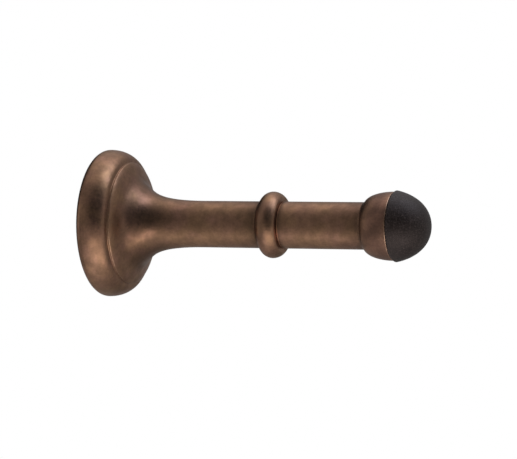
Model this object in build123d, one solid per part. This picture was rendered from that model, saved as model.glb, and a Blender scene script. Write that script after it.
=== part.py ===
from build123d import *
import os
from math import atan2, cos, degrees, radians, sin, sqrt, tan

# Concealed fix door stop, in millimetres.
# X runs out of the wall along the stop, with x = 0 on the wall and the rubber nose at the far end.
# Every piece is turned or moulded round that axis, so each is one half outline, (x, radius), revolved.

# Base ring, which sits on the wall
base_dia = 40.5
ring_length = 8.15  # wall to the step at the foot of the neck
back_round = 2.2  # rounded edge next to the wall
relief_dia = 31.0  # the back is hollowed inside this, so that only the rim meets the wall
relief_depth = 1.0

# Step, bell and trumpet neck
step_dia = 33.4
step_rise = 0.4  # straight side of the step
shoulder_round = 0.25
shoulder_turn = 52.0  # degrees that the shoulder turns in towards the stem
face_pull = 2.4  # pull of the bell's face at the shoulder
face_run = 3.4  # pull of the bell's face at the throat
throat_x = 12.3  # wall to the throat, where the steep face runs out into the neck
throat_dia = 21.3
throat_lean = 40.0  # degrees that the outline leans in at the throat
neck_pull = 3.4  # pull of the neck's curve at the throat
neck_reach = 14.0  # pull of the neck's curve along the stem
neck_end = 30.5  # wall to the plain stem

# Stem, and the half-round bead at the front end of the rear section
stem_dia = 12.7
rear_length = 52.9  # wall to the seam between the two metal sections
bead_dia = 18.0
bead_round = 2.9  # radius of the bead's section
bead_blend = 0.8  # hollow corner between the stem and the back of the bead

# Fixing screw's hole, and the bore that its head and the driver go down
screw_hole_dia = 4.6
floor_thickness = 4.0  # length of the plain hole
driver_bore_dia = 8.8
countersink_angle = 90.0

# Thread between the two sections, drawn as plain cylinders on either side of its pitch diameter
thread_pitch_dia = 9.35
thread_clearance = 0.05
spigot_length = 9.0
spigot_chamfer = 0.6
socket_run_out = 1.0  # socket left below the end of the spigot
mouth_chamfer = 0.5
undercut_width = 1.2  # thread run-out groove at the root of the spigot
undercut_depth = 0.5
seam_chamfer = 0.2

# Front section: stem and cup
front_length = 31.5  # seam to the rim of the cup
cup_dia = 18.4
cup_length = 7.7  # long half axis of the cup's elliptical side
cup_turn = 62.0  # degrees that the hollow corner at its foot turns out from the stem
rim_round = 0.15
recess_dia = 14.4
recess_depth = 6.0
groove_depth = 0.5  # undercut in the recess that keeps the plug in
groove_width = 2.0
groove_floor = 1.0  # recess floor to the groove

# Rubber buffer
buffer_dia = 19.1
buffer_height = 9.75  # rim of the cup to the tip
lip_rise = 0.5  # rim of the cup to the sharp edge of the lip
dome_draft = 11.5  # degrees that the side leans in at the lip
dome_side = 3.4  # pull of the dome's curve at the lip
dome_nose = 6.45  # pull of the dome's curve at the tip
plug_clearance = 0.05
plug_end_gap = 0.4  # plug's end to the recess floor
plug_chamfer = 0.5

# Radii and places that follow from those
base_r = base_dia / 2
step_r = step_dia / 2
stem_r = stem_dia / 2
bead_r = bead_dia / 2
cup_r = cup_dia / 2
recess_r = recess_dia / 2
socket_r = thread_pitch_dia / 2 + thread_clearance
spigot_r = thread_pitch_dia / 2 - thread_clearance
seam_x = rear_length
rim_x = seam_x + front_length
recess_x = rim_x - recess_depth
groove_x = recess_x + groove_floor


def turned(*edges):
    """Solid of one closed half outline, revolved round the stop's axis."""
    return revolve(make_face(Wire(edges)), Axis.X, 360)


def blend(centre, radius, blend_r):
    """Hollow corner arc from the stem up to a convex arc: where it leaves the stem, its middle and its end."""
    corner_y = stem_r + blend_r
    reach = sqrt((radius + blend_r) ** 2 - (corner_y - centre[1]) ** 2)
    corner = Vector(centre[0] - reach, corner_y)
    towards = (Vector(*centre) - corner).normalized()
    middle = (towards + Vector(0, -1)).normalized()
    return (corner.X, stem_r), corner + middle * blend_r, corner + towards * blend_r


def leaning(length, lean):
    """Step of this length along the stop, leaning in towards the axis by so many degrees."""
    return Vector(cos(radians(lean)), -sin(radians(lean))) * length


def neck_edges(start):
    """Shoulder, steep face and trumpet neck, from the top of the step, and the first point of the plain stem."""
    shoulder = CenterArc((start[0], start[1] - shoulder_round), shoulder_round, 90, -shoulder_turn)
    top = shoulder @ 1
    throat = Vector(throat_x, throat_dia / 2)
    foot = Vector(neck_end, stem_r)
    face = Bezier(
        top,
        top + leaning(face_pull, shoulder_turn),
        throat - leaning(face_run, throat_lean),
        throat,
    )
    neck = Bezier(
        throat,
        throat + leaning(neck_pull, throat_lean),
        foot - Vector(neck_reach, 0),
        foot,
    )
    return [shoulder, face, neck], foot


def rear_section():
    """Base ring, neck, rear stem and bead, bored from the front for a hidden screw."""
    driver_r = driver_bore_dia / 2
    screw_r = screw_hole_dia / 2
    hole_end = relief_depth + floor_thickness
    sink_depth = (driver_r - screw_r) / tan(radians(countersink_angle / 2))
    socket_x = seam_x - spigot_length - socket_run_out

    back_edge = CenterArc((back_round, base_r - back_round), back_round, 180, -90)
    ovolo = EllipticalCenterArc(
        (back_round, step_r), ring_length - back_round, base_r - step_r, 90, arc_size=-90
    )
    step_top = (ring_length + step_rise, step_r)
    neck, stem_start = neck_edges(step_top)

    bead_y = bead_r - bead_round
    bead_x = seam_x - sqrt(bead_round**2 - (stem_r - bead_y) ** 2)
    blend_start, blend_mid, blend_end = blend((bead_x, bead_y), bead_round, bead_blend)

    bore = Polyline(
        (seam_x, stem_r),
        (seam_x, socket_r + mouth_chamfer),
        (seam_x - mouth_chamfer, socket_r),
        (socket_x, socket_r),
        (socket_x, driver_r),
        (hole_end + sink_depth, driver_r),
        (hole_end, screw_r),
        (relief_depth, screw_r),
        (relief_depth, relief_dia / 2),
        (0, relief_dia / 2),
        (0, base_r - back_round),
    )
    return turned(
        back_edge,
        ovolo,
        Line((ring_length, step_r), step_top),
        *neck,
        Line(stem_start, blend_start),
        ThreePointArc(blend_start, blend_mid, blend_end),
        ThreePointArc(blend_end, (bead_x, bead_r), (seam_x, stem_r)),
        *bore.edges(),
    )


def front_section():
    """Threaded spigot, front stem and the cup that holds the rubber."""
    spigot_x = seam_x - spigot_length
    groove_r = recess_r + groove_depth

    # The cup's side is a quarter ellipse, parallel to the axis at the rim. The hollow corner at its foot
    # takes over from it where it leans by cup_turn.
    turn = radians(cup_turn)
    cup_rise = cup_r - stem_r
    crest_x = rim_x - rim_round
    lean = atan2(cup_rise, cup_length * tan(turn))
    foot_round = cup_rise * sin(lean) / (1 - cos(turn))
    foot_x = crest_x - cup_length * cos(lean) - foot_round * sin(turn)

    spigot = Polyline(
        (spigot_x, 0),
        (spigot_x, spigot_r - spigot_chamfer),
        (spigot_x + spigot_chamfer, spigot_r),
        (seam_x - undercut_width, spigot_r),
        (seam_x - undercut_width, spigot_r - undercut_depth),
        (seam_x, spigot_r - undercut_depth),
        (seam_x, stem_r - seam_chamfer),
        (seam_x + seam_chamfer, stem_r),
        (foot_x, stem_r),
    )
    recess = Polyline(
        (rim_x, cup_r - rim_round),
        (rim_x, recess_r),
        (groove_x + groove_width, recess_r),
        (groove_x + groove_width, groove_r),
        (groove_x, groove_r),
        (groove_x, recess_r),
        (recess_x, recess_r),
        (recess_x, 0),
        (spigot_x, 0),
    )
    return turned(
        *spigot.edges(),
        CenterArc((foot_x, stem_r + foot_round), foot_round, -90, cup_turn),
        EllipticalCenterArc(
            (crest_x, stem_r), cup_length, cup_rise, 180 - degrees(lean), arc_size=degrees(lean) - 90
        ),
        CenterArc((crest_x, cup_r - rim_round), rim_round, 90, -90),
        *recess.edges(),
    )


def rubber_buffer():
    """Domed nose with an overhanging lip, and the ribbed plug that is pushed into the cup."""
    plug_x = recess_x + plug_end_gap
    plug_r = recess_r - plug_clearance
    rib_r = plug_r + groove_depth
    rib_x = groove_x + plug_clearance
    rib_end = groove_x + groove_width - plug_clearance
    lip = Vector(rim_x + lip_rise, buffer_dia / 2)
    tip = Vector(rim_x + buffer_height, 0)

    plug = Polyline(
        (tip.X, 0),
        (plug_x, 0),
        (plug_x, plug_r - plug_chamfer),
        (plug_x + plug_chamfer, plug_r),
        (rib_x, plug_r),
        (rib_x, rib_r),
        (rib_end, rib_r),
        (rib_end, plug_r),
        (rim_x, plug_r),
        (rim_x, cup_r - rim_round),
        (lip.X, lip.Y),
    )
    dome = Bezier(
        lip,
        lip + leaning(dome_side, dome_draft),
        tip + Vector(0, dome_nose),
        tip,
    )
    return turned(*plug.edges(), dome)


pieces = {
    "rear_section": rear_section(),
    "front_section": front_section(),
    "rubber_buffer": rubber_buffer(),
}

os.makedirs("parts", exist_ok=True)
for name, solid in pieces.items():
    solid.label = name
    export_step(solid, f"parts/{name}.step")
    print(name, round(solid.volume, 1), "mm3")
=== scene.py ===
import bmesh
import bpy
import numpy as np
from mathutils import Matrix, Vector


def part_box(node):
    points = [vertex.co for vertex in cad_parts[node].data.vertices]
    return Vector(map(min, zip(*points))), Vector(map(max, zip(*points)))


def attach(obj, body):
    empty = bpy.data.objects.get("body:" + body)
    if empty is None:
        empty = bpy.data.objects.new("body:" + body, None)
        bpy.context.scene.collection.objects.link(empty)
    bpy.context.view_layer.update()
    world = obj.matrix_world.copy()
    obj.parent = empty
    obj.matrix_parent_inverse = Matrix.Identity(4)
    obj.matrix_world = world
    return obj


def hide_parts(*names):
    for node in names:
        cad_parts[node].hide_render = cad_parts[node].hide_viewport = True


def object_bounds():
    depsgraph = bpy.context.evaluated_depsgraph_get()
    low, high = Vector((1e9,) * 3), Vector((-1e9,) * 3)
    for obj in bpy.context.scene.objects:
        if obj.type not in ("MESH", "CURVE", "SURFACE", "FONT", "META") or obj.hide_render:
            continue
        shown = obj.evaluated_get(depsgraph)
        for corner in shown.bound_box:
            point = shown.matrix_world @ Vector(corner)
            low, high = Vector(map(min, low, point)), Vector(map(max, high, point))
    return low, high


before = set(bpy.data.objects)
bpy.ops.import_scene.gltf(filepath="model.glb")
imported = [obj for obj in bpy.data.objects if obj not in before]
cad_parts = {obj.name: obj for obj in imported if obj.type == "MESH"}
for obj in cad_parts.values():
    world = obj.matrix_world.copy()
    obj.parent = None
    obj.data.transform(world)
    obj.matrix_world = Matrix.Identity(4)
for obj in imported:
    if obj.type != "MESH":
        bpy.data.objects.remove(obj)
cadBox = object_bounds()
mm = 0.001  # outlines are worked out in millimetres, meshes are in metres
print("frame:", ", ".join(sorted(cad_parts)))


def boxMm(node):
    low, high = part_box(node)
    return np.array(low) / mm, np.array(high) / mm


rearLow, rearHigh = boxMm("rear_section")
frontLow, frontHigh = boxMm("front_section")
bufferLow, bufferHigh = boxMm("rubber_buffer")
wallX = rearLow[0]  # plane of the wall
seamX = rearHigh[0]  # where the two metal sections meet
rimX = frontHigh[0]  # rim of the cup
tipX = bufferHigh[0]
stemRadius = 6.35

meshDetail = {
    "repeatGap": 1e-4,  # outline points nearer than this are one
    "axisGap": 0.0005,  # points nearer to the axis than this are on it
    "cornerShare": 0.45,  # most of a side that a rounded corner may take up
    "bendReach": 4.0,  # length over which a broad bend is averaged
    "sharpAngle": 38,  # degrees, edges sharper than this are shaded as edges
}


# outline pieces: points are (x along the stop, radius), in millimetres

def straight(start, end, count=2):
    # start + t (end - start)
    t = np.linspace(0, 1, count)[:, None]
    return np.array(start) + t * (np.array(end) - np.array(start))


def arc(centre, radii, fromDeg, toDeg, count):
    # centre + (rx cos t, ry sin t), a circle where both radii are equal
    t = np.radians(np.linspace(fromDeg, toDeg, count))
    rx, ry = np.broadcast_to(radii, 2)
    return np.array(centre) + np.stack([rx * np.cos(t), ry * np.sin(t)], 1)


def bezier(a, b, c, d, count):
    # cubic Bezier curve through a and d, pulled towards b and c
    t = np.linspace(0, 1, count)[:, None]
    a, b, c, d = (np.array(p, float) for p in (a, b, c, d))
    return (1 - t) ** 3 * a + 3 * (1 - t) ** 2 * t * b + 3 * (1 - t) * t**2 * c + t**3 * d


def inward(lean):
    # direction along the stop that leans in towards the axis by this many degrees
    return np.array([np.cos(np.radians(lean)), -np.sin(np.radians(lean))])


def softCorners(corners, radius, steps):
    # a polyline whose inner corners are rounded: each corner p becomes the quadratic curve
    # p + (1-t)^2 u + t^2 v, where u and v reach back along its two sides by the corner's radius
    corners = np.array(corners, float)
    before = corners[:-2] - corners[1:-1]
    after = corners[2:] - corners[1:-1]
    lengthBefore = np.linalg.norm(before, axis=1, keepdims=True)
    lengthAfter = np.linalg.norm(after, axis=1, keepdims=True)
    reach = np.minimum(radius, meshDetail["cornerShare"] * np.minimum(lengthBefore, lengthAfter))
    t = np.linspace(0, 1, steps)[None, :, None]
    u = (before / lengthBefore * reach)[:, None, :]
    v = (after / lengthAfter * reach)[:, None, :]
    rounded = corners[1:-1, None, :] + (1 - t) ** 2 * u + t**2 * v
    return np.concatenate([corners[:1], rounded.reshape(-1, 2), corners[-1:]])


def joined(*lines):
    # one outline from several, without repeated points
    points = np.concatenate(lines)
    gap = np.linalg.norm(np.diff(points, axis=0), axis=1)
    return points[np.concatenate([[True], gap > meshDetail["repeatGap"]])]


def fineSteps(outline, longest):
    # extra points on long straight runs, so that no row of faces is longer than this
    gap = np.linalg.norm(np.diff(outline, axis=0), axis=1)
    counts = np.maximum(1, np.ceil(gap / longest)).astype(int)
    start = np.repeat(np.arange(len(gap)), counts)
    part = np.arange(counts.sum()) - np.repeat(np.cumsum(counts) - counts, counts)
    t = (part / np.repeat(counts, counts))[:, None]
    points = outline[start] + t * (outline[start + 1] - outline[start])
    return np.concatenate([points, outline[-1:]])


def edgeSharpness(outline, closed, reach):
    # how sharply the outline turns at each point, per millimetre, averaged along the outline with a
    # Gaussian of the given reach: above 0 on edges that stand out, below 0 in corners that go in
    step = np.roll(outline, -1, axis=0) - outline
    back = outline - np.roll(outline, 1, axis=0)
    turn = -np.arctan2(back[:, 0] * step[:, 1] - back[:, 1] * step[:, 0], (back * step).sum(1))
    lengths = np.linalg.norm(step, axis=1)
    if not closed:
        turn[[0, -1]] = 0
        lengths[-1] = 0
    along = np.concatenate([[0], np.cumsum(lengths)])
    total = along[-1]
    along = along[:-1]
    apart = np.abs(along[:, None] - along[None, :])
    if closed:
        apart = np.minimum(apart, total - apart)
    weight = np.exp(-0.5 * (apart / reach) ** 2) / (reach * np.sqrt(2 * np.pi))
    return weight @ turn, along


# meshes

def gridFaces(rows, columns, closed=False):
    # four corners of each face of a grid whose columns go all the way round, and its rows too if it is closed
    row = np.arange(rows if closed else rows - 1)[:, None]
    column = np.arange(columns)[None, :]
    nextRow, nextColumn = (row + 1) % rows, (column + 1) % columns
    return np.stack([row * columns + column, row * columns + nextColumn,
                     nextRow * columns + nextColumn, nextRow * columns + column], -1).reshape(-1, 4)


def newObject(name, points, faces):
    mesh = bpy.data.meshes.new(name)
    mesh.from_pydata(points.reshape(-1, 3).tolist(), [], faces.tolist())
    made = bpy.data.objects.new(name, mesh)
    bpy.context.scene.collection.objects.link(made)
    return made


def turningUv(outline, along, closed, columns):
    # u runs once round the stop and v once along its outline, for the four corners of every face
    closing = along[-1] + np.linalg.norm(outline[0] - outline[-1])
    length = np.concatenate([along, [closing]])
    row = np.arange(len(outline) if closed else len(outline) - 1)[:, None]
    column = np.arange(columns)[None, :]
    total = closing if closed else along[-1]
    v0, v1 = (np.broadcast_to(length[row + i] / total, (len(row), columns)) for i in (0, 1))
    u0, u1 = (np.broadcast_to((column + i) / columns, v0.shape) for i in (0, 1))
    return np.stack([np.stack([u0, v0], -1), np.stack([u1, v0], -1),
                     np.stack([u1, v1], -1), np.stack([u0, v1], -1)], 2).reshape(-1, 2)


def closePoles(mesh):
    # each row of points on the axis becomes one point
    work = bmesh.new()
    work.from_mesh(mesh)
    axisGap = meshDetail["axisGap"] * mm
    onAxis = [v for v in work.verts if v.co.y**2 + v.co.z**2 < axisGap**2]
    bmesh.ops.remove_doubles(work, verts=onAxis, dist=2 * axisGap)
    work.to_mesh(mesh)
    work.free()


def turnedMesh(name, outline, closed, s, threads=None):
    # surface of revolution: P(s, a) = (x(s), r(s) cos a, r(s) sin a), with a helical ridge added to r where
    # there is a thread. An open outline starts and ends on the axis, a closed one goes round a bore.
    outline = fineSteps(outline, s["rowLength"])
    rows, columns = len(outline), s["columns"]
    angle = np.arange(columns) * 2 * np.pi / columns
    x = np.repeat(outline[:, :1], columns, 1)
    r = np.repeat(outline[:, 1:], columns, 1)
    if threads is not None:
        r = r + threads(outline, angle)
    points = np.stack([x, r * np.cos(angle), r * np.sin(angle)], -1) * mm
    faces = gridFaces(rows, columns, closed)
    piece = newObject(name, points, faces)
    mesh = piece.data

    sharpness, along = edgeSharpness(outline, closed, s["edgeReach"])
    bend = edgeSharpness(outline, closed, meshDetail["bendReach"])[0]
    uv = turningUv(outline, along, closed, columns)
    mesh.uv_layers.new(name="turning").data.foreach_set("uv", uv.astype(np.float32).ravel())
    for label, values in (("edge", sharpness), ("bend", bend), ("along", along)):
        layer = mesh.attributes.new(label, "FLOAT", "POINT")
        layer.data.foreach_set("value", np.repeat(values, columns).astype(np.float32))
    mesh.polygons.foreach_set("use_smooth", np.ones(len(faces), bool))
    if not closed:
        closePoles(mesh)
    mesh.set_sharp_from_angle(angle=np.radians(meshDetail["sharpAngle"]))
    mesh.update()
    print(f"{name}: {rows} rows, {len(mesh.polygons)} faces")
    return piece


# rear section: base ring, step, trumpet neck, rear stem, bead, and the bore inside

rearShape = {
    "columns": 240,  # faces round the stop
    "rowLength": 2.0,  # longest row of faces along it
    "edgeReach": 0.10,  # length over which an edge is averaged
    "ringLength": 8.15,
    "backRound": 2.2,
    "reliefRadius": 15.5,
    "reliefDepth": 1.0,
    "stepRadius": 16.7,
    "stepRise": 0.4,
    "stepSoft": 0.3,  # rounding in the corner of the step
    "ovoloEnd": 16.0,  # degrees of the ring's curve that are polished away next to the step
    "shoulderRound": 0.25,
    "shoulderTurn": 52.0,
    "facePull": 2.4,
    "faceRun": 3.4,
    "throatX": 12.3,  # from the wall, where the bell's steep face runs out into the neck
    "throatRadius": 10.65,
    "throatLean": 40.0,
    "neckPull": 3.4,
    "neckReach": 14.0,
    "neckEnd": 30.5,
    "beadRadius": 9.0,
    "beadRound": 2.9,
    "beadBlend": 0.8,
    "beadFront": 0.35,  # its front half is this much fuller, up to the seam
    "screwRadius": 2.3,
    "floorThickness": 4.0,
    "driverRadius": 4.4,
    "mouthChamfer": 0.5,
    "softEdge": 0.12,
    "steps": {"back": 22, "ovolo": 48, "stepCorner": 7, "shoulder": 10, "face": 40,  # points on each curve
              "neck": 56, "blend": 10, "bead": 28, "corner": 4},
}

threadShape = {
    "pitch": 1.0,
    "pitchRadius": 4.675,
    "clearance": 0.05,
    "height": 0.27,  # crest above the pitch line
    "fade": 0.8,  # run-out at each end
    "rowsPerTurn": 12,
    "runOut": 1.0,
    "undercutWidth": 1.2,
    "lead": 0.6,  # from the end of the spigot to the start of its thread
    "join": 0.01,  # plain surface at each end of the spigot's thread
}
threadStart = frontLow[0] + threadShape["lead"]
threadEnd = seamX - threadShape["undercutWidth"]


def threadRidge(side):
    # r gains h (2 |2 f - 1| - 1), faded in at both ends: f is the fraction of a turn, x / pitch - a / 2 pi
    radius = threadShape["pitchRadius"] + side * threadShape["clearance"]

    def ridge(outline, angle):
        x, r = outline[:, :1], outline[:, 1:]
        turn = x / threadShape["pitch"] - angle[None, :] / (2 * np.pi)
        wave = 2 * np.abs(2 * (turn % 1) - 1) - 1
        ends = np.clip((x - threadStart) / threadShape["fade"], 0, 1)
        ends = ends * np.clip((threadEnd - x) / threadShape["fade"], 0, 1)
        onThread = np.isclose(r, radius)
        return threadShape["height"] * wave * ends * onThread
    return ridge


def threadRun(fromX, toX, radius):
    # plain run with enough rows for the ridge
    count = int(abs(toX - fromX) / threadShape["pitch"] * threadShape["rowsPerTurn"]) + 2
    return straight((fromX, radius), (toX, radius), count)


def beadPlace():
    # centre of the bead's section, centre of the hollow corner behind it, and the angle where the two meet
    s = rearShape
    y = s["beadRadius"] - s["beadRound"]
    centre = np.array([seamX - np.sqrt(s["beadRound"] ** 2 - (stemRadius - y) ** 2), y])
    rise = stemRadius + s["beadBlend"] - y
    reach = np.sqrt((s["beadRound"] + s["beadBlend"]) ** 2 - rise**2)
    return centre, centre + (-reach, rise), np.degrees(np.arctan2(-rise, reach))


def makeRearSection():
    s = rearShape
    steps = s["steps"]
    baseRadius = rearHigh[1]
    ringX = wallX + s["ringLength"]

    backX = wallX + s["backRound"]
    backEdge = arc((backX, baseRadius - s["backRound"]), s["backRound"], 180, 90, steps["back"])
    ovolo = arc((backX, s["stepRadius"]), (ringX - backX, baseRadius - s["stepRadius"]),
                90, s["ovoloEnd"], steps["ovolo"])
    stepCorner = softCorners([ovolo[-1], (ringX, s["stepRadius"]), (ringX + s["stepRise"], s["stepRadius"])],
                             s["stepSoft"], steps["stepCorner"])
    shoulder = arc((ringX + s["stepRise"], s["stepRadius"] - s["shoulderRound"]), s["shoulderRound"],
                   90, 90 - s["shoulderTurn"], steps["shoulder"])
    top = shoulder[-1]
    throat = np.array([wallX + s["throatX"], s["throatRadius"]])
    foot = np.array([wallX + s["neckEnd"], stemRadius])
    face = bezier(top, top + s["facePull"] * inward(s["shoulderTurn"]),
                  throat - s["faceRun"] * inward(s["throatLean"]), throat, steps["face"])
    neck = bezier(throat, throat + s["neckPull"] * inward(s["throatLean"]),
                  foot - (s["neckReach"], 0), foot, steps["neck"])

    # the front half of the bead is an ellipse, which the seam cuts off
    beadCentre, corner, meetDeg = beadPlace()
    beadBlend = arc(corner, s["beadBlend"], -90, meetDeg, steps["blend"])
    beadRear = arc(beadCentre, s["beadRound"], 180 + meetDeg, 90, steps["bead"])
    halfLength = s["beadRound"] + s["beadFront"]
    seamDeg = np.degrees(np.arccos((seamX - beadCentre[0]) / halfLength))
    beadFront = arc(beadCentre, (halfLength, s["beadRound"]), 90, seamDeg, steps["bead"])

    socketRadius = threadShape["pitchRadius"] + threadShape["clearance"]
    socketX = frontLow[0] - threadShape["runOut"]
    floorX = wallX + s["reliefDepth"]
    holeX = floorX + s["floorThickness"]
    sinkX = holeX + s["driverRadius"] - s["screwRadius"]  # a 90 degree countersink
    mouth = softCorners([beadFront[-2], beadFront[-1], (seamX, socketRadius + s["mouthChamfer"]),
                         (seamX - s["mouthChamfer"], socketRadius), (threadEnd, socketRadius)],
                        s["softEdge"], steps["corner"])
    bore = softCorners([(threadStart, socketRadius), (socketX, socketRadius), (socketX, s["driverRadius"]),
                        (sinkX, s["driverRadius"]), (holeX, s["screwRadius"]), (floorX, s["screwRadius"]),
                        (floorX, s["reliefRadius"]), (wallX, s["reliefRadius"]), backEdge[0]],
                       s["softEdge"], steps["corner"])
    thread = threadRun(threadEnd, threadStart, socketRadius)
    outline = joined(backEdge, ovolo, stepCorner, shoulder, face, neck, beadBlend, beadRear, beadFront[:-1],
                     mouth, thread, bore)[:-1]
    return turnedMesh("rear_section_turned", outline, True, s, threadRidge(1))


# front section: threaded spigot, front stem, cup and the recess for the rubber

frontShape = {
    "columns": 240,
    "rowLength": 2.0,
    "edgeReach": 0.10,
    "undercutDepth": 0.5,
    "spigotChamfer": 0.6,
    "seamChamfer": 0.18,
    "stemStart": 1.5,  # from the seam to the plain stem
    "cupLength": 7.7,  # long half axis of its elliptical side
    "cupTurn": 62.0,
    "rimRound": 0.15,
    "recessRadius": 7.2,
    "recessDepth": 6.0,
    "grooveDepth": 0.5,
    "grooveWidth": 2.0,
    "grooveFloor": 1.0,
    "softEdge": 0.06,
    "steps": {"foot": 14, "side": 44, "rim": 10, "root": 6, "corner": 4},
}


def cupPlace():
    # the cup's side is a quarter ellipse, and the hollow foot takes over from it where it leans by cupTurn:
    # angle on the ellipse there, radius of the foot, and where the foot leaves the stem
    s = frontShape
    rise = frontHigh[1] - stemRadius
    turn = np.radians(s["cupTurn"])
    lean = np.arctan2(rise, s["cupLength"] * np.tan(turn))
    footRound = rise * np.sin(lean) / (1 - np.cos(turn))
    footX = rimX - s["rimRound"] - s["cupLength"] * np.cos(lean) - footRound * np.sin(turn)
    return lean, footRound, footX


def makeFrontSection():
    s = frontShape
    steps = s["steps"]
    cupRadius = frontHigh[1]
    spigotX = frontLow[0]
    spigotRadius = threadShape["pitchRadius"] - threadShape["clearance"]
    undercutRadius = spigotRadius - s["undercutDepth"]
    runStart = threadStart + threadShape["join"]
    runEnd = threadEnd - threadShape["join"]

    crestX = rimX - s["rimRound"]
    lean, footRound, footX = cupPlace()
    cupFoot = arc((footX, stemRadius + footRound), footRound, -90, s["cupTurn"] - 90, steps["foot"])
    cupSide = arc((crestX, stemRadius), (s["cupLength"], cupRadius - stemRadius),
                  180 - np.degrees(lean), 90, steps["side"])
    rim = arc((crestX, cupRadius - s["rimRound"]), s["rimRound"], 90, 0, steps["rim"])

    recessX = rimX - s["recessDepth"]
    grooveX = recessX + s["grooveFloor"]
    grooveEnd = grooveX + s["grooveWidth"]
    grooveRadius = s["recessRadius"] + s["grooveDepth"]
    nose = softCorners([(spigotX, 0), (spigotX, spigotRadius - s["spigotChamfer"]),
                        (spigotX + s["spigotChamfer"], spigotRadius), (runStart, spigotRadius)],
                       s["softEdge"], steps["corner"])
    root = softCorners([(runEnd, spigotRadius), (threadEnd, spigotRadius), (threadEnd, undercutRadius),
                        (seamX, undercutRadius), (seamX, stemRadius - s["seamChamfer"]),
                        (seamX + s["seamChamfer"], stemRadius), (seamX + s["stemStart"], stemRadius)],
                       s["softEdge"], steps["root"])
    recess = softCorners([rim[-1], (rimX, s["recessRadius"]), (grooveEnd, s["recessRadius"]),
                          (grooveEnd, grooveRadius), (grooveX, grooveRadius), (grooveX, s["recessRadius"]),
                          (recessX, s["recessRadius"]), (recessX, 0)], s["softEdge"], steps["corner"])
    thread = threadRun(runStart, runEnd, spigotRadius)
    outline = joined(nose, thread, root, cupFoot, cupSide, rim, recess)
    return turnedMesh("front_section_turned", outline, False, s, threadRidge(-1))


# rubber buffer: domed nose with a sharp lip, and the ribbed plug inside the cup

bufferShape = {
    "columns": 240,
    "rowLength": 1.5,
    "edgeReach": 0.12,
    "lipRise": 0.5,
    "lipSoft": 0.12,
    "lipShare": 0.2,  # of the lip's underside that its rounding has room in
    "lipJoin": 3,  # points of the dome that its rounding takes up
    "domeDraft": 11.5,
    "domeSide": 3.4,
    "domeNose": 6.45,
    "plugClearance": 0.05,
    "plugChamfer": 0.5,
    "softEdge": 0.06,
    "steps": {"dome": 90, "lip": 7, "corner": 4},
}


def makeRubberBuffer():
    s = bufferShape
    f = frontShape
    steps = s["steps"]
    plugX = bufferLow[0]
    plugRadius = f["recessRadius"] - s["plugClearance"]
    ribRadius = plugRadius + f["grooveDepth"]
    ribX = rimX - f["recessDepth"] + f["grooveFloor"] + s["plugClearance"]
    ribEnd = ribX + f["grooveWidth"] - 2 * s["plugClearance"]
    seat = np.array([rimX, frontHigh[1] - f["rimRound"]])
    lip = np.array([rimX + s["lipRise"], bufferHigh[1]])
    tip = np.array([tipX, 0.0])

    dome = bezier(lip, lip + s["domeSide"] * inward(s["domeDraft"]),
                  tip + (0, s["domeNose"]), tip, steps["dome"])
    plug = softCorners([(plugX, 0), (plugX, plugRadius - s["plugChamfer"]),
                        (plugX + s["plugChamfer"], plugRadius), (ribX, plugRadius), (ribX, ribRadius),
                        (ribEnd, ribRadius), (ribEnd, plugRadius), (rimX, plugRadius), seat,
                        lip - s["lipShare"] * (lip - seat)], s["softEdge"], steps["corner"])
    lipEdge = softCorners([plug[-1], lip, dome[s["lipJoin"]]], s["lipSoft"], steps["lip"])
    outline = joined(plug, lipEdge, dome[s["lipJoin"] + 1:])
    return turnedMesh("rubber_buffer_moulded", outline, False, s)


# shader helpers

def setInput(tree, node, label, value):
    if isinstance(value, bpy.types.NodeSocket):
        tree.links.new(value, node.inputs[label])
    else:
        node.inputs[label].default_value = value


def addNode(tree, kind, settings=None, inputs=None):
    node = tree.nodes.new(kind)
    for label, value in (settings or {}).items():
        setattr(node, label, value)
    for label, value in (inputs or {}).items():
        setInput(tree, node, label, value)
    return node


def mixColour(tree, factor, a, b, blend="MIX"):
    # the mix node's colour sockets are its inputs 6 and 7 and its output 2
    return addNode(tree, "ShaderNodeMix", {"data_type": "RGBA", "blend_type": blend},
                   {0: factor, 6: a, 7: b}).outputs[2]


def maths(tree, operation, *values, clamp=False):
    return addNode(tree, "ShaderNodeMath", {"operation": operation, "use_clamp": clamp},
                   dict(enumerate(values))).outputs[0]


def vectorMaths(tree, operation, *values):
    return addNode(tree, "ShaderNodeVectorMath", {"operation": operation}, dict(enumerate(values))).outputs


def ranged(tree, value, fromLow, fromHigh, toLow, toHigh):
    return addNode(tree, "ShaderNodeMapRange", {"interpolation_type": "SMOOTHSTEP"}, {
        "Value": value, "From Min": fromLow, "From Max": fromHigh, "To Min": toLow, "To Max": toHigh,
    }).outputs["Result"]


def attribute(tree, name):
    return addNode(tree, "ShaderNodeAttribute", {"attribute_name": name}).outputs["Fac"]


def objectPlace(tree):
    return addNode(tree, "ShaderNodeTexCoord").outputs["Object"]


def newMaterial(name):
    material = bpy.data.materials.new(name)
    material.use_nodes = True
    material.node_tree.nodes.clear()
    return material, material.node_tree


def newGroup(name, inputs, outputs):
    group = bpy.data.node_groups.new(name, "ShaderNodeTree")
    for label, kind in inputs:
        group.interface.new_socket(label, in_out="INPUT", socket_type=kind)
    for label, kind in outputs:
        group.interface.new_socket(label, in_out="OUTPUT", socket_type=kind)
    return group, group.nodes.new("NodeGroupInput"), group.nodes.new("NodeGroupOutput")


def placeGroup(tree, group, inputs):
    return addNode(tree, "ShaderNodeGroup", {"node_tree": group}, inputs).outputs


# effects that both finishes use

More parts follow.
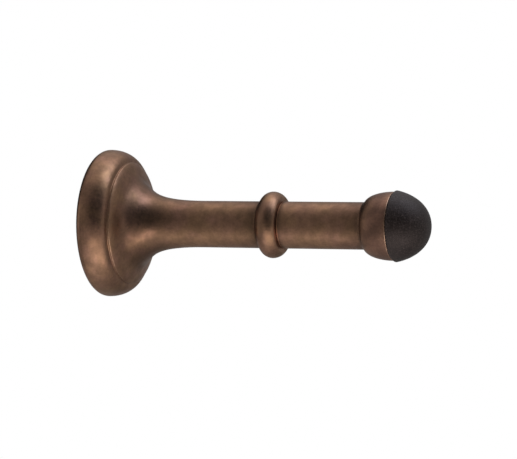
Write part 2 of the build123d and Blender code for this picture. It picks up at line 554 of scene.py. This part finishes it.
mottleShape = {
    "low": 0.28,  # noise below this is 0
    "high": 0.72,  # and above this 1
    "noises": (  # output, its scale and the share of it, detail, roughness, offset
        ("Patches", "Patch Scale", 1.0, 3.0, 0.55, (0, 0, 0)),
        ("Drift", "Patch Scale", 0.45, 2.0, 0.5, (3.1, 1.7, 5.3)),
        ("Grain", "Grain Scale", 1.0, 4.0, 0.6, (0, 0, 0)),
    ),
}
wearShape = {
    "even": 0.65,  # share of the edge's sharpness that always counts
    "uneven": 0.7,  # and how much more of it the grain adds
}


def makeMottleGroup():
    # cloudy patches and fine grain over a surface, both 0 to 1
    s = mottleShape
    value, vector = "NodeSocketFloat", "NodeSocketVector"
    group, given, result = newGroup("surfaceMottle", [("Position", vector), ("Patch Scale", value),
                                                      ("Grain Scale", value)],
                                    [("Patches", value), ("Drift", value), ("Grain", value)])
    for label, scaleName, share, detail, rough, offset in s["noises"]:
        moved = vectorMaths(group, "ADD", given.outputs["Position"], offset)[0]
        scale = maths(group, "MULTIPLY", given.outputs[scaleName], share)
        noise = addNode(group, "ShaderNodeTexNoise", None, {
            "Vector": moved, "Scale": scale, "Detail": detail, "Roughness": rough}).outputs["Fac"]
        group.links.new(ranged(group, noise, s["low"], s["high"], 0, 1), result.inputs[label])
    return group


def makeEdgeGroup():
    # masks of raised edges and sharp inner corners from the piece's own edge attribute, broken up by a grain
    # value: on the rubber the raised edges are rubbed, on the copper they are rubbed and also take a painted
    # highlight
    s = wearShape
    value = "NodeSocketFloat"
    group, given, result = newGroup("edgeMasks", [("Edge", value), ("Grain", value), ("Start", value),
                                                    ("Full", value)],
                                    [("RaisedEdges", value), ("Hollow", value)])
    broken = maths(group, "MULTIPLY_ADD", given.outputs["Grain"], s["uneven"], s["even"])
    edge = maths(group, "MULTIPLY", given.outputs["Edge"], broken)
    for label, sign in (("RaisedEdges", 1.0), ("Hollow", -1.0)):
        signed = maths(group, "MULTIPLY", edge, sign)
        mask = ranged(group, signed, given.outputs["Start"], given.outputs["Full"], 0, 1)
        group.links.new(mask, result.inputs[label])
    return group


mottleGroup = makeMottleGroup()
edgeGroup = makeEdgeGroup()

copperFinish = {
    "golden": (0.246, 0.137, 0.077, 1),
    "pinkish": (0.248, 0.129, 0.089, 1),
    "olive": (0.200, 0.113, 0.067, 1),
    "oliveShare": 0.5,
    # bright copper on raised edges: partly real wear, partly a painted highlight where an edge catches the
    # light
    "wornAndHighlight": (0.44, 0.28, 0.20, 1),
    "wornAndHighlightShare": 0.9,
    # darker in sharp inner corners
    "hollow": (0.070, 0.045, 0.034, 1),
    "hollowShare": 0.12,
    "wearStart": 1.8,  # sharpness of an edge where its wear starts, per millimetre
    "wearFull": 5.0,
    "patchScale": 360.0,  # per metre
    "grainScale": 1700.0,
    "patchShade": 0.23,  # from the darkest patch to the palest, as a share of the colour
    "grainShade": 0.20,
    "streakShade": 0.16,
    "sunkShade": 0.34,  # darker patina in broad hollows
    "sunkFrom": 0.0,  # how much the outline turns in there, per millimetre
    "sunkTo": 0.060,
    "cornerPatinaAndHighlight": (  # old patina, and one painted highlight: where on the stem, its reach along and past it, share of the colour lost, gained where below 0
        (beadPlace()[1][0], -3.0, 1.6, 0.46),
        (seamX + 0.52, 1.3, -0.12, 0.36),
        (seamX + 0.29, 0.17, -0.15, -0.90),  # painted highlight: the front section's rounded edge made brighter, a thin line that catches the light
        (cupPlace()[2], -2.8, 1.7, 0.33),
    ),
    "tarnish": (0.150, 0.080, 0.058, 1),  # next to the rubber
    "tarnishStart": (rimX - 11.0) * mm,
    "tarnishFull": (rimX - 4.0) * mm,
    "tarnishShare": 0.62,
    "tarnishEven": 0.7,  # share of it that always counts, and how much more the patches add
    "tarnishUneven": 0.6,
    "roughLow": 0.30,
    "roughHigh": 0.40,
    "roughGrain": 0.06,
    "coat": 0.20,  # thin lacquer
    "coatRough": 0.70,
    "edgeTint": (0.84, 0.80, 0.78, 1),  # less shine at a glancing angle
    "streakScale": 2.4,  # turning marks per millimetre along the outline
    "streakWander": 0.9,  # how much they change round the stop
    "streakDetail": 3.0,
    "streakRough": 0.6,
    "streakHeight": 0.016 * mm,
    "patchHeight": 0.022 * mm,
    "grainHeight": 0.008 * mm,
    "bump": 0.6,
}


def turningMarks(tree, place, s):
    # noise that changes quickly along the outline and slowly round it
    outward = vectorMaths(tree, "NORMALIZE", vectorMaths(tree, "MULTIPLY", place, (0, 1, 1))[0])[0]
    spread = addNode(tree, "ShaderNodeVectorMath", {"operation": "SCALE"},
                     {0: outward, "Scale": s["streakWander"]}).outputs[0]
    along = maths(tree, "MULTIPLY", attribute(tree, "along"), s["streakScale"])
    shift = addNode(tree, "ShaderNodeCombineXYZ", None, {"X": along}).outputs[0]
    return addNode(tree, "ShaderNodeTexNoise", None, {
        "Vector": vectorMaths(tree, "ADD", spread, shift)[0], "Scale": 1.0,
        "Detail": s["streakDetail"], "Roughness": s["streakRough"]}).outputs["Fac"]


def patinaAndHighlightShade(tree, outX, textures, s):
    # how much of the colour is left: less in broad hollows and dark corners, more in the painted highlight at
    # the seam, uneven with the textures
    bend = maths(tree, "MULTIPLY", attribute(tree, "bend"), -1.0)
    sunk = ranged(tree, bend, s["sunkFrom"], s["sunkTo"], 0, 1)
    shade = maths(tree, "MULTIPLY_ADD", sunk, -s["sunkShade"], 1.0)
    for cornerX, reach, past, lost in s["cornerPatinaAndHighlight"]:
        near = ranged(tree, outX, (cornerX + reach) * mm, cornerX * mm, 0, lost)
        near = maths(tree, "MULTIPLY", near, ranged(tree, outX, cornerX * mm, (cornerX + past) * mm, 1, 0))
        shade = maths(tree, "MULTIPLY", shade, maths(tree, "SUBTRACT", 1.0, near))
    for texture, share in textures:
        shade = maths(tree, "MULTIPLY", shade, maths(tree, "MULTIPLY_ADD", texture, share, 1.0 - share / 2))
    grey = dict.fromkeys(("Red", "Green", "Blue"), shade)
    return addNode(tree, "ShaderNodeCombineColor", None, grey).outputs[0]


def makeCopper():
    s = copperFinish
    material, tree = newMaterial("antiqueCopper")
    place = objectPlace(tree)
    outX = addNode(tree, "ShaderNodeSeparateXYZ", None, {0: place}).outputs["X"]
    mottle = placeGroup(tree, mottleGroup, {"Position": place, "Patch Scale": s["patchScale"],
                                            "Grain Scale": s["grainScale"]})
    edges = placeGroup(tree, edgeGroup, {"Edge": attribute(tree, "edge"), "Grain": mottle["Grain"],
                                         "Start": s["wearStart"], "Full": s["wearFull"]})
    streak = turningMarks(tree, place, s)

    colour = mixColour(tree, mottle["Drift"], s["golden"], s["pinkish"])
    colour = mixColour(tree, maths(tree, "MULTIPLY", mottle["Patches"], s["oliveShare"]), colour, s["olive"])
    uneven = maths(tree, "MULTIPLY_ADD", mottle["Patches"], s["tarnishUneven"], s["tarnishEven"])
    tarnished = ranged(tree, outX, s["tarnishStart"], s["tarnishFull"], 0, s["tarnishShare"])
    colour = mixColour(tree, maths(tree, "MULTIPLY", tarnished, uneven), colour, s["tarnish"])
    textures = ((mottle["Patches"], -s["patchShade"]), (mottle["Grain"], s["grainShade"]),
                (streak, s["streakShade"]))
    colour = mixColour(tree, 1.0, colour, patinaAndHighlightShade(tree, outX, textures, s), "MULTIPLY")
    # raised edges: worn bright copper, and a painted highlight along edges that catch the light
    colour = mixColour(tree, maths(tree, "MULTIPLY", edges["RaisedEdges"], s["wornAndHighlightShare"]), colour, s["wornAndHighlight"])
    # darker colour in sharp inner corners
    colour = mixColour(tree, maths(tree, "MULTIPLY", edges["Hollow"], s["hollowShare"]), colour, s["hollow"])

    rough = ranged(tree, mottle["Patches"], 0, 1, s["roughLow"], s["roughHigh"])
    rough = maths(tree, "MULTIPLY_ADD", mottle["Grain"], s["roughGrain"], rough, clamp=True)

    height = maths(tree, "MULTIPLY", streak, s["streakHeight"])
    height = maths(tree, "MULTIPLY_ADD", mottle["Patches"], s["patchHeight"], height)
    height = maths(tree, "MULTIPLY_ADD", mottle["Grain"], s["grainHeight"], height)
    bump = addNode(tree, "ShaderNodeBump", None, {
        "Strength": s["bump"], "Distance": 1.0, "Height": height}).outputs[0]
    shader = addNode(tree, "ShaderNodeBsdfPrincipled", None, {
        "Base Color": colour, "Metallic": 1.0, "Roughness": rough, "Normal": bump,
        "Specular Tint": s["edgeTint"], "Coat Weight": s["coat"], "Coat Roughness": s["coatRough"]})
    addNode(tree, "ShaderNodeOutputMaterial", None, {"Surface": shader.outputs[0]})
    return material


rubberFinish = {
    "dark": (0.0100, 0.0072, 0.0066, 1),
    "light": (0.0190, 0.0140, 0.0130, 1),
    "bloom": (0.062, 0.047, 0.045, 1),
    "speckFrom": 0.55,  # grain above this is specked with bloom
    "speckShare": 0.55,
    "wearStart": 0.8,
    "wearFull": 4.0,
    "wearShare": 0.35,
    "roughLow": 0.44,
    "roughHigh": 0.62,
    "gloss": 0.32,
    "sheen": (1.0, 0.81, 0.79, 1),
    "patchScale": 300.0,
    "grainScale": 2200.0,
    "grainHeight": 0.05 * mm,
    "bump": 0.5,
}


def makeRubber():
    s = rubberFinish
    material, tree = newMaterial("mouldedRubber")
    mottle = placeGroup(tree, mottleGroup, {"Position": objectPlace(tree), "Patch Scale": s["patchScale"],
                                            "Grain Scale": s["grainScale"]})
    edges = placeGroup(tree, edgeGroup, {"Edge": attribute(tree, "edge"), "Grain": mottle["Grain"],
                                         "Start": s["wearStart"], "Full": s["wearFull"]})
    colour = mixColour(tree, mottle["Patches"], s["dark"], s["light"])
    speck = ranged(tree, mottle["Grain"], s["speckFrom"], 1.0, 0, s["speckShare"])
    colour = mixColour(tree, speck, colour, s["bloom"])
    colour = mixColour(tree, maths(tree, "MULTIPLY", edges["RaisedEdges"], s["wearShare"]), colour, s["bloom"])
    rough = ranged(tree, mottle["Grain"], 0, 1, s["roughLow"], s["roughHigh"])
    height = maths(tree, "MULTIPLY", mottle["Grain"], s["grainHeight"])
    bump = addNode(tree, "ShaderNodeBump", None, {
        "Strength": s["bump"], "Distance": 1.0, "Height": height}).outputs[0]
    shader = addNode(tree, "ShaderNodeBsdfPrincipled", None, {
        "Base Color": colour, "Roughness": rough, "Normal": bump,
        "Specular IOR Level": s["gloss"], "Specular Tint": s["sheen"]})
    addNode(tree, "ShaderNodeOutputMaterial", None, {"Surface": shader.outputs[0]})
    return material


copper = makeCopper()
rubber = makeRubber()
for make, node, slot, finish in ((makeRearSection, "rear_section", "antique_copper", copper),
                                 (makeFrontSection, "front_section", "antique_copper", copper),
                                 (makeRubberBuffer, "rubber_buffer", "black_rubber", rubber)):
    piece = make()
    piece.data.materials.append(finish)
    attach(piece, "root")
    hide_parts(node)
print("pieces made and finished")


# stage: white surround, a studio bowl that only reflections and matt surfaces see, a low floor and two lamps

bowlShape = {
    "radius": 1.5,
    "rows": 40,
    "columns": 96,
    "topElevation": 84,  # open above this, where the white surround shows
    "level": 0.40,
    "paleLobes": (  # azimuth, elevation, width in degrees, gain of level
        (176, 73, 51, 1.25),  # ceiling beyond the stop
        (3, -64, 40, 1.10),  # ground in front of it
        (80, -18, 33, 0.23),  # past the rubber's end
        (-74, 4, 34, 0.30),  # past the wall's end
        (-122, -56, 36, 0.17),  # ground on the wall's side
        (163, -46, 44, -0.18),  # dimmer ground beyond the stop
    ),
    "darkLobes": (  # azimuth, elevation, widths where it is darkest and where it ends, level
        (34.5, 24, 36, 46, 0.04),  # room behind the camera
        (-34, -2, 3, 20, 0.20),  # beside it, on the wall's side
        (-118, 17, 22, 36, 0.0),  # far corner on the wall's side
    ),
}


def towards(azimuth, elevation):
    # azimuth 0 is the camera's side (-Y), 90 is the rubber's end (+X)
    az, el = np.radians(azimuth), np.radians(elevation)
    return Vector((np.sin(az) * np.cos(el), -np.cos(az) * np.cos(el), np.sin(el)))


def angleFrom(tree, look, azimuth, elevation):
    # angle between a direction and the one given by its azimuth and elevation, in radians
    facing = vectorMaths(tree, "DOT_PRODUCT", look, towards(azimuth, elevation))["Value"]
    return maths(tree, "ARCCOSINE", maths(tree, "MINIMUM", maths(tree, "MAXIMUM", facing, -1.0), 1.0))


def makeBowl():
    # sphere R (sin a cos e, -cos a cos e, sin e), from straight below up to the open top
    s = bowlShape
    e, a = np.meshgrid(np.radians(np.linspace(-90, s["topElevation"], s["rows"])),
                       np.arange(s["columns"]) * 2 * np.pi / s["columns"], indexing="ij")
    points = s["radius"] * np.stack([np.sin(a) * np.cos(e), -np.cos(a) * np.cos(e), np.sin(e)], -1)
    bowl = newObject("studio_bowl", points, gridFaces(s["rows"], s["columns"]))
    bowl.visible_camera = False
    material, tree = newMaterial("studioBowl")
    look = vectorMaths(tree, "NORMALIZE", objectPlace(tree))[0]
    level = s["level"]
    for azimuth, elevation, width, gain in s["paleLobes"]:
        apart = angleFrom(tree, look, azimuth, elevation)
        level = maths(tree, "ADD", level, ranged(tree, apart, 0, np.radians(width), gain, 0))
    for azimuth, elevation, inner, outer, darkest in s["darkLobes"]:
        apart = angleFrom(tree, look, azimuth, elevation)
        share = ranged(tree, apart, np.radians(inner), np.radians(outer), 1, 0)
        level = addNode(tree, "ShaderNodeMix", None, {0: share, 2: level, 3: darkest}).outputs[0]
    glow = addNode(tree, "ShaderNodeEmission", None, {"Strength": level}).outputs[0]
    addNode(tree, "ShaderNodeOutputMaterial", None, {"Surface": glow})
    bowl.data.materials.append(material)


floorShape = {
    "drop": 0.30,  # below the stop's axis, lower than the photograph reaches
    "radius": 0.50,
    "inner": 0.001,  # share of the radius left open at the middle
    "rows": 12,
    "columns": 64,
    "fadeStart": 0.15,  # from here it fades into the white surround
    "colour": (0.80, 0.79, 0.78, 1),
    "glow": 0.55,  # brings the lit floor up to white
}


def makeFloor():
    # disc (r cos a, r sin a) under the stop, seen from above by the camera alone: the low lamp shines past it
    s = floorShape
    r, a = np.meshgrid(np.linspace(s["inner"], 1, s["rows"]) * s["radius"],
                       np.arange(s["columns"]) * 2 * np.pi / s["columns"], indexing="ij")
    points = np.stack([r * np.cos(a), r * np.sin(a), np.full_like(r, -s["drop"])], -1)
    floor = newObject("pale_floor", points, gridFaces(s["rows"], s["columns"])[:, ::-1])
    floor.visible_diffuse = floor.visible_glossy = floor.visible_transmission = floor.visible_shadow = False
    material, tree = newMaterial("paleFloor")
    flat = vectorMaths(tree, "MULTIPLY", objectPlace(tree), (1, 1, 0))[0]
    reach = vectorMaths(tree, "LENGTH", flat)["Value"]
    faded = ranged(tree, reach, s["fadeStart"], s["radius"], 0, 1)
    under = addNode(tree, "ShaderNodeNewGeometry").outputs["Backfacing"]
    hidden = maths(tree, "MAXIMUM", faded, under)
    matt = addNode(tree, "ShaderNodeBsdfDiffuse", None, {"Color": s["colour"]}).outputs[0]
    glow = addNode(tree, "ShaderNodeEmission", None, {"Strength": s["glow"]}).outputs[0]
    lit = addNode(tree, "ShaderNodeAddShader", None, {0: matt, 1: glow}).outputs[0]
    clear = addNode(tree, "ShaderNodeBsdfTransparent").outputs[0]
    shown = addNode(tree, "ShaderNodeMixShader", None, {0: hidden, 1: lit, 2: clear}).outputs[0]
    addNode(tree, "ShaderNodeOutputMaterial", None, {"Surface": shown})
    floor.data.materials.append(material)


worldShape = {
    "colour": (1, 1, 1, 1),
    "light": 0.9,  # as it lights matt surfaces
    "white": 1.0,  # as it is seen
}


def makeWorld():
    s = worldShape
    world = bpy.data.worlds.new("whiteSurround")
    bpy.context.scene.world = world
    world.use_nodes = True
    tree = world.node_tree
    tree.nodes.clear()
    light = addNode(tree, "ShaderNodeBackground", None, {"Color": s["colour"], "Strength": s["light"]})
    white = addNode(tree, "ShaderNodeBackground", None, {"Color": s["colour"], "Strength": s["white"]})
    rays = addNode(tree, "ShaderNodeLightPath").outputs  # seen directly, in a reflection or through glass
    seen = maths(tree, "ADD", rays["Is Camera Ray"], rays["Is Glossy Ray"])
    seen = maths(tree, "ADD", seen, rays["Is Transmission Ray"], clamp=True)
    mixed = addNode(tree, "ShaderNodeMixShader", None,
                    {0: seen, 1: light.outputs[0], 2: white.outputs[0]}).outputs[0]
    addNode(tree, "ShaderNodeOutputWorld", None, {"Surface": mixed})


lampShapes = {  # spread is half of the angle that the lamp covers, across and up
    "keySoftbox": {"azimuth": 103, "elevation": 59.5, "distance": 1.2, "spread": (17, 26.5),
                   "brightness": 2.18, "colour": (0.87, 1.0, 1.18)},
    "lowReflector": {"azimuth": 43.5, "elevation": -42, "distance": 1.1, "spread": (36.5, 13.5),
                     "brightness": 2.60, "colour": (1.02, 0.98, 0.91)},
}


def makeLamps():
    # an oval lamp of brightness 1 looks as bright as a white card: its power is pi times its area
    aim = Vector(((cadBox[0][0] + cadBox[1][0]) / 2, 0, 0))
    for name, s in lampShapes.items():
        away = towards(s["azimuth"], s["elevation"])
        data = bpy.data.lights.new(name, "AREA")
        data.shape = "ELLIPSE"
        data.size, data.size_y = 2 * s["distance"] * np.tan(np.radians(s["spread"]))
        data.color = s["colour"]
        area = np.pi * data.size * data.size_y / 4
        data.energy = s["brightness"] * np.pi * area
        lamp = bpy.data.objects.new(name, data)
        bpy.context.scene.collection.objects.link(lamp)
        lamp.location = aim + away * s["distance"]
        lamp.rotation_euler = away.to_track_quat("Z", "Y").to_euler()
        lamp.visible_camera = False


cameraView = {
    "imageWidth": 517,
    "azimuth": 20.620,  # turned towards the rubber's end
    "elevation": 1.853,
    "distance": 0.700,
    "aim": (0.040061, 0.015009, -0.001820),  # point at the picture's centre
    "focalPixels": 2525.6,
    "sensorWidth": 36.0,
}


def makeCamera():
    s = cameraView
    az = np.radians(s["azimuth"])
    back = towards(s["azimuth"], s["elevation"])
    right = Vector((np.cos(az), np.sin(az), 0))
    up = back.cross(right)
    data = bpy.data.cameras.new("photoCamera")
    data.sensor_fit = "HORIZONTAL"
    data.sensor_width = s["sensorWidth"]
    data.lens = s["sensorWidth"] * s["focalPixels"] / s["imageWidth"]
    camera = bpy.data.objects.new("photoCamera", data)
    bpy.context.scene.collection.objects.link(camera)
    turn = Matrix((right, up, back)).transposed().to_4x4()
    camera.matrix_world = Matrix.Translation(Vector(s["aim"]) + back * s["distance"]) @ turn
    bpy.context.scene.camera = camera


makeBowl()
makeFloor()
makeWorld()
makeLamps()
makeCamera()
bpy.context.scene.view_settings.view_transform = "Standard"
print("stage, lamps and camera set")
